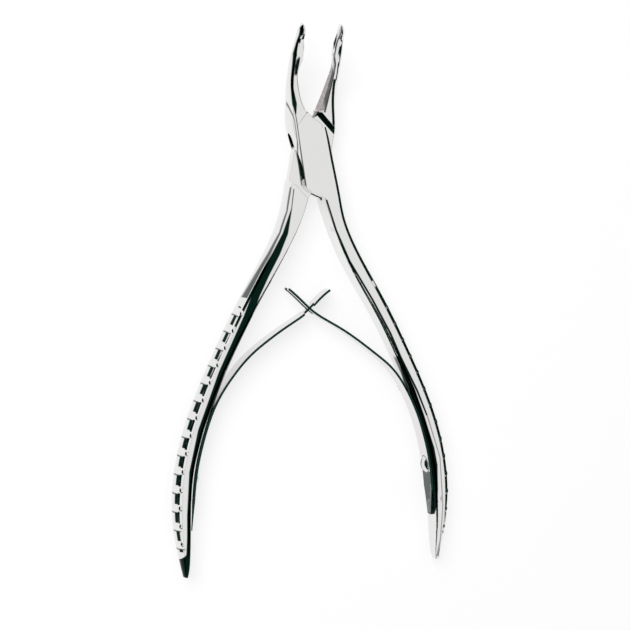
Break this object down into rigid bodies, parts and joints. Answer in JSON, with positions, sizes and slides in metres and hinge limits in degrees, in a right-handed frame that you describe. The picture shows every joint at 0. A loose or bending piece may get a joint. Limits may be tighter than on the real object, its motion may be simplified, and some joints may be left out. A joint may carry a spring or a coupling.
{
  "type": "bone rongeur",
  "caption": "Bone rongeur with a box-lock joint, upward-bent cup jaws, ribbed handles and two interlocked leaf springs, shown open.",
  "frame": {"origin": "on the pivot axis, in the flat back face of the box lock", "axes": "+Z along the pivot axis out of the front face, +Y along the tool towards the jaws, +X to the right in the front view"},
  "size_m": [0.081, 0.1511, 0.0174],
  "materials": {
    "polished_steel": "mirror polished stainless steel",
    "spring_steel": "polished spring steel",
    "screw_steel": "polished steel"
  },
  "bodies": {
    "box": {"box_half": "polished_steel", "pivot_rivet": "polished_steel", "box_spring_screw": "screw_steel"},
    "tongue": {"tongue_half": "polished_steel", "tongue_spring_screw": "screw_steel"},
    "fork_leaf": {"fork_leaf_spring": "spring_steel"},
    "tongue_leaf": {"tongue_leaf_spring": "spring_steel"}
  },
  "joints": [
    {"name": "box_lock", "type": "hinge", "parent": "box", "child": "tongue", "pos_m": [0, 0, 0.0042], "axis": [0, 0, 1], "range_deg": [0, 16.9], "stiffness_Nm_per_rad": 2},
    {"name": "fork_leaf_bend", "type": "hinge", "parent": "box", "child": "fork_leaf", "pos_m": [0.02705, -0.0655, 0.0042], "axis": [0, 0, 1], "range_deg": [-11, 0], "deforming": ["fork_leaf_spring"]},
    {"name": "tongue_leaf_bend", "type": "hinge", "parent": "tongue", "child": "tongue_leaf", "pos_m": [-0.0273, -0.0657, 0.0042], "axis": [0, 0, 1], "range_deg": [0, 14], "deforming": ["tongue_leaf_spring"]}
  ],
  "couplings": [
    {"joint": "fork_leaf_bend", "follows": "box_lock", "ratio": -0.64},
    {"joint": "tongue_leaf_bend", "follows": "box_lock", "ratio": 0.8}
  ]
}
